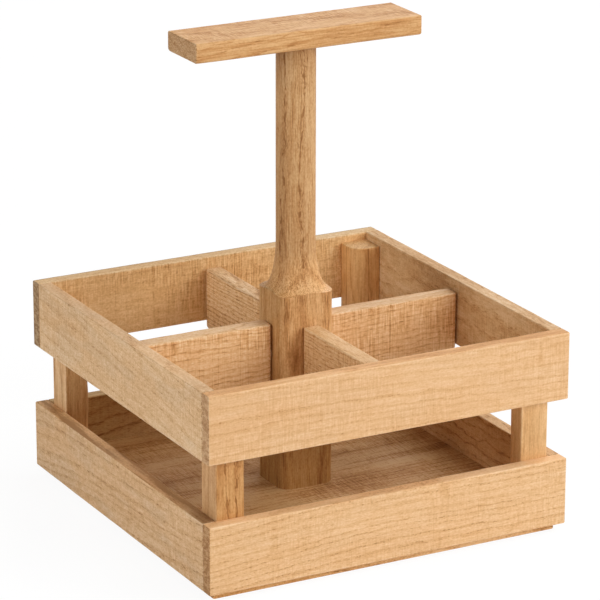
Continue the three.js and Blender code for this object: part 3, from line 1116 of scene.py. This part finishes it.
def make_base_panel():
    """The lip under the boards and the field inside them, stacked along local X and laid flat."""
    node = "base_panel"
    size = local_size(node, ALONG_X)
    half = size[0] / 2
    lip = []
    for step in range(LIP_STEPS + 1):
        angle = step / LIP_STEPS * QUARTER
        lip.append((LIP_ARRIS * (1 - math.cos(angle)), half - LIP_ARRIS * (1 - math.sin(angle))))
    lip += [(LIP_THICKNESS - level, reach) for level, reach in lip[::-1]]
    field = [(LIP_THICKNESS, FIELD_SIDE / 2), (size[2], FIELD_SIDE / 2)]
    rings = []
    for level, reach in [*lip, *field]:
        points = ring(-reach, reach, -reach, reach, [LIP_CORNER] * 4)
        rings.append([(level - size[2] / 2, y, z) for y, z in points])
    mesh = mesh_from_rings(node, rings)
    mesh.transform(UPRIGHT)
    holes = []
    spots = [(x, y, CORNER_SCREW) for x in (-1, 1) for y in (-1, 1)] + [(0, 0, CENTRE_SCREW)]
    for side_x, side_y, (head, shank, _) in spots:
        place = (side_x * CORNER_POST_CENTRE, side_y * CORNER_POST_CENTRE, -size[2] / 2)
        holes.append((countersunk(size[2], head, shank), Matrix.Translation(place) @ UPRIGHT))
    mesh = combined(mesh, holes)
    material = oak("base panel oak", BASE_SEED, size, "B68B59", **FLOOR_LOOK)
    placed("oak_base_panel", node, mesh, ALONG_X, material)


def dress_fasteners():
    """Dowels and screws keep their CAD shape, and get a better material."""
    steel_material = steel()
    for node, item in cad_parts.items():
        if "screw" in node:
            give_material(item.data, steel_material)
        elif "dowel" in node:
            give_material(item.data, plain_wood(node + " beech", len(node)))


for board in BOARDS:
    make_board(board)
for index, corner in enumerate(CORNER_POSTS):
    make_corner_post(corner, POST_FIRST_SEED + index)
make_centre_post()
make_handle_bar()
for side in DIVIDERS:
    make_divider(side)
make_base_panel()
dress_fasteners()

# Studio: a white floor that keeps the shadow, a white surround and six soft lamps
WHITE = (1, 1, 1, 1)
FLOOR_HALF = 6.0
FLOOR_COLOUR = (0.8, 0.8, 0.8, 1)
FLOOR_GLOW = 1.05
FLOOR_GLOW_SHARE = 0.88
SURROUND_LIGHT = 0.07
TARGET = Vector((0, 0, 0.1))
# Name, degrees from the front towards the right and above the floor, distance, and watts
LAMPS = [
    ("key", 70, 62, 2.4, 19.5),
    ("left", -86, 20, 1.2, 6.4),
    ("front", 4, 23, 2.4, 12.5),
    ("front right", 39, 22, 2.4, 26.0),
    ("right", 100, 35, 2.4, 8.0),
    ("back right", 140, 24, 2.4, 19.0),
]


def white_floor():
    """Looks white, and a little darker in the object's shadow."""
    s = Shader("white floor")
    lit = s.node("BsdfDiffuse", {"Color": FLOOR_COLOUR})
    glow = s.node("Emission", {"Strength": FLOOR_GLOW})
    share = s.math("MULTIPLY", s.seen_directly(), FLOOR_GLOW_SHARE)
    blend = s.node("MixShader", {0: share, 1: lit.outputs[0], 2: glow.outputs[0]})
    output = next(n for n in s.tree.nodes if n.type == "OUTPUT_MATERIAL")
    s.put(output.inputs["Surface"], blend.outputs[0])
    s.tree.nodes.remove(s.surface)
    return s.material


def make_floor():
    corners = [(x * FLOOR_HALF, y * FLOOR_HALF, 0) for x, y in ((-1, -1), (1, -1), (1, 1), (-1, 1))]
    mesh = bpy.data.meshes.new("floor")
    mesh.from_pydata(corners, [], [(0, 1, 2, 3)])
    give_material(mesh, white_floor())
    floor = added("floor", mesh)


def make_surround():
    """A world that looks white, and lights the object only a little."""
    world = bpy.data.worlds.new("white surround")
    bpy.context.scene.world = world
    world.use_nodes = True
    t = Tree(world.node_tree)
    background = next(n for n in world.node_tree.nodes if n.type == "BACKGROUND")
    brightness = {"Value": t.seen_directly(), "To Min": SURROUND_LIGHT, "To Max": 1.0}
    t.put(background.inputs["Color"], WHITE)
    t.put(background.inputs["Strength"], t.node("MapRange", brightness).outputs[0])


def bearing(azimuth, elevation):
    """The direction at so many degrees from the front towards the right, and above the floor."""
    turn, rise = math.radians(azimuth), math.radians(elevation)
    return Vector((math.sin(turn) * math.cos(rise), -math.cos(turn) * math.cos(rise), math.sin(rise)))


def make_lamp(name, azimuth, elevation, distance, power):
    """A square lamp that looks at the object, half as wide as it is far away."""
    data = bpy.data.lights.new(name, "AREA")
    data.shape = "SQUARE"
    data.size = distance / 2
    data.energy = power
    lamp = added(name, data)
    away = bearing(azimuth, elevation).normalized()
    lamp.location = TARGET + away * distance
    lamp.rotation_mode = "QUATERNION"
    lamp.rotation_quaternion = away.to_track_quat("Z", "Y")


make_floor()
make_surround()
for lamp in LAMPS:
    make_lamp(*lamp)

# Camera of the photograph: the degrees at which it stands and rolls, the point that it aims at, how
# far away that is and how far off the picture's middle, and the focal length against the width
AZIMUTH = -28.33525
ELEVATION = 18.39849
ROLL = math.radians(0.10096)
AIM = Vector((0, 0, 0.114))
DISTANCE = 1.9865
OFFSET = (-2.4781 * MM, -4.5091 * MM)
SENSOR = 36.0
FOCAL_PIXELS = 3583.47
PICTURE_PIXELS = 600
NEAREST = 0.05
FARTHEST = 50


def make_camera():
    back = bearing(AZIMUTH, ELEVATION)
    turn = math.radians(AZIMUTH)
    level_right = Vector((math.cos(turn), math.sin(turn), 0))
    level_up = back.cross(level_right)
    right = math.cos(ROLL) * level_right + math.sin(ROLL) * level_up
    up = -math.sin(ROLL) * level_right + math.cos(ROLL) * level_up
    eye = AIM + back * DISTANCE - OFFSET[0] * right - OFFSET[1] * up
    data = bpy.data.cameras.new("camera")
    data.sensor_width = SENSOR
    data.lens = FOCAL_PIXELS / PICTURE_PIXELS * SENSOR
    data.clip_start = NEAREST
    data.clip_end = FARTHEST
    camera = added("camera", data)
    axes = Matrix((right, up, back)).transposed()
    camera.matrix_world = Matrix.Translation(eye) @ axes.to_4x4()
    bpy.context.scene.camera = camera


make_camera()
bpy.context.scene.view_settings.view_transform = "Standard"
